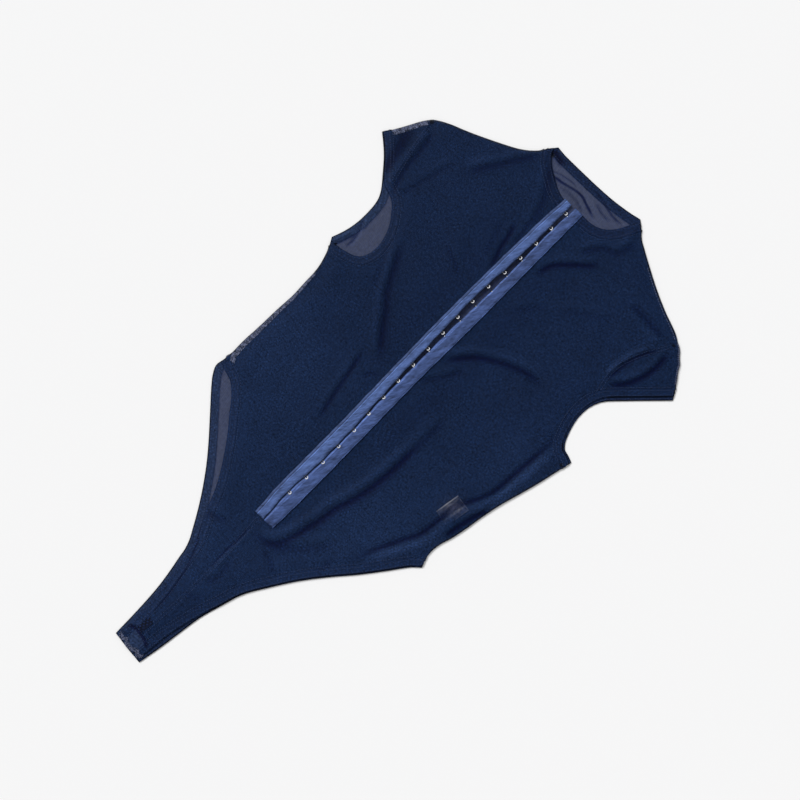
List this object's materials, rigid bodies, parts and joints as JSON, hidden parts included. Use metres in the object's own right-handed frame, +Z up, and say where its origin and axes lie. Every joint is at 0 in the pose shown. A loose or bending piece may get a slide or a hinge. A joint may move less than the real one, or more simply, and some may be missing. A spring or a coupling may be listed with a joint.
{
  "type": "mesh bodysuit laid flat",
  "caption": "Short-sleeved sheer mesh bodysuit with high-cut legs and a hook-and-eye front, laid flat on its back.",
  "frame": {"origin": "on the ground under the middle of the box, below the back panel", "axes": "+Y toward the neck, +X toward the wearer's left, +Z up out of the garment's front"},
  "size_m": [0.468, 0.7715, 0.0084],
  "materials": {
    "mesh_navy": "sheer navy power mesh",
    "band_navy": "folded navy mesh binding",
    "tape_blue": "woven blue satin tape",
    "label_grey": "plain satin ribbon",
    "hook_metal": "white coated wire"
  },
  "bodies": {
    "root": {"back_panel": "mesh_navy", "front_panel_right": "mesh_navy", "front_panel_left": "mesh_navy", "sleeve_left_back": "mesh_navy", "sleeve_left_front": "mesh_navy", "sleeve_right_back": "mesh_navy", "sleeve_right_front": "mesh_navy", "neckband_back": "band_navy", "neckband_front_right": "band_navy", "neckband_front_left": "band_navy", "armhole_band_left_back": "band_navy", "armhole_band_left_front": "band_navy", "armhole_band_right_back": "band_navy", "armhole_band_right_front": "band_navy", "leg_band_left_back": "band_navy", "leg_band_left_front": "band_navy", "leg_band_right_back": "band_navy", "leg_band_right_front": "band_navy", "closure_back": "band_navy", "closure_front": "band_navy", "hook_tape": "tape_blue", "eye_tape": "tape_blue", "care_label": "label_grey"}
  },
  "joints": []
}
